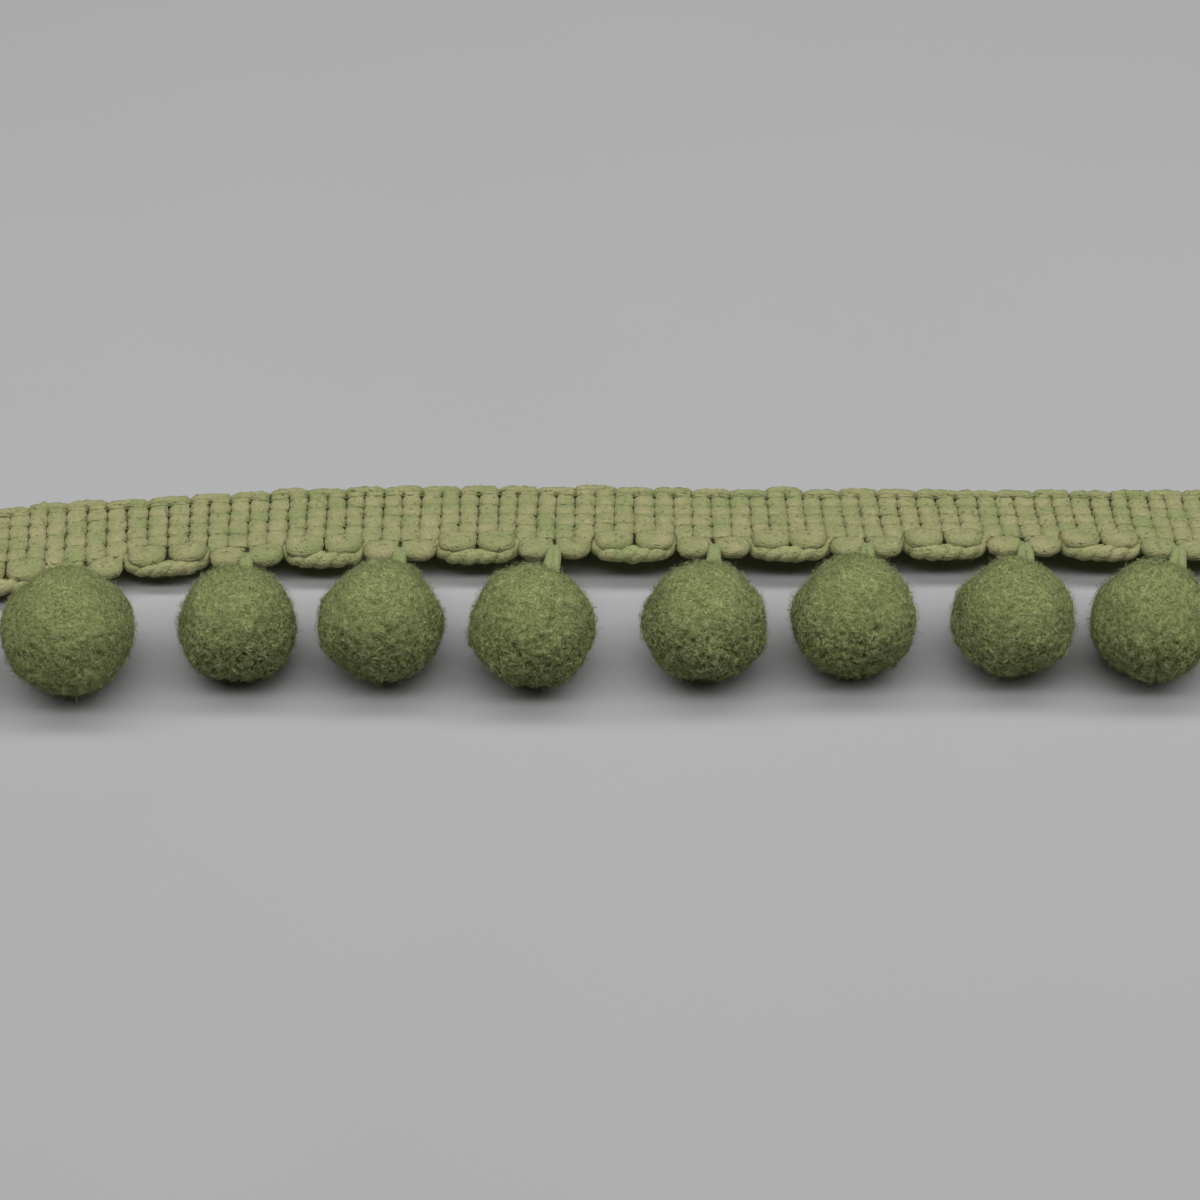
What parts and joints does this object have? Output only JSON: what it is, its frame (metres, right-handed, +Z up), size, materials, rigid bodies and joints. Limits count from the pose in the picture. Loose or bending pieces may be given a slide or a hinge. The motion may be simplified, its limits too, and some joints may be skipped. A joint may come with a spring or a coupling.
{
  "type": "pompom fringe trim",
  "caption": "Cut length of sewing trim: a woven gimp band with scalloped edges and a row of round felted yarn pompoms on short hanger loops.",
  "frame": {"origin": "below the middle of the bounding box, on the surface that the trim rests on", "axes": "+X along the trim, +Y from the pompoms to the header, +Z up"},
  "size_m": [0.1611, 0.03, 0.0123],
  "materials": {
    "header_yarn": "soft matt weft yarn, sage green, woven in ribs over fine warp threads",
    "pompom_pile": "dense felted short pile, darker sage green",
    "loop_cord": "soft matt cord, light sage green",
    "scallop_cord": "soft matt twisted cord, sage green"
  },
  "bodies": {
    "root": {"braid_header": "header_yarn", "pompom_01": "pompom_pile", "pompom_02": "pompom_pile", "pompom_03": "pompom_pile", "pompom_04": "pompom_pile", "pompom_05": "pompom_pile", "pompom_06": "pompom_pile", "pompom_07": "pompom_pile", "pompom_08": "pompom_pile", "pompom_09": "pompom_pile", "pompom_10": "pompom_pile", "hanger_loop_01": "loop_cord", "hanger_loop_02": "loop_cord", "hanger_loop_03": "loop_cord", "hanger_loop_04": "loop_cord", "hanger_loop_05": "loop_cord", "hanger_loop_06": "loop_cord", "hanger_loop_07": "loop_cord", "hanger_loop_08": "loop_cord", "hanger_loop_09": "loop_cord", "hanger_loop_10": "loop_cord", "scallop_cord_01": "scallop_cord", "scallop_cord_02": "scallop_cord", "scallop_cord_03": "scallop_cord", "scallop_cord_04": "scallop_cord", "scallop_cord_05": "scallop_cord", "scallop_cord_06": "scallop_cord", "scallop_cord_07": "scallop_cord", "scallop_cord_08": "scallop_cord", "scallop_cord_09": "scallop_cord", "scallop_cord_10": "scallop_cord"}
  },
  "joints": []
}
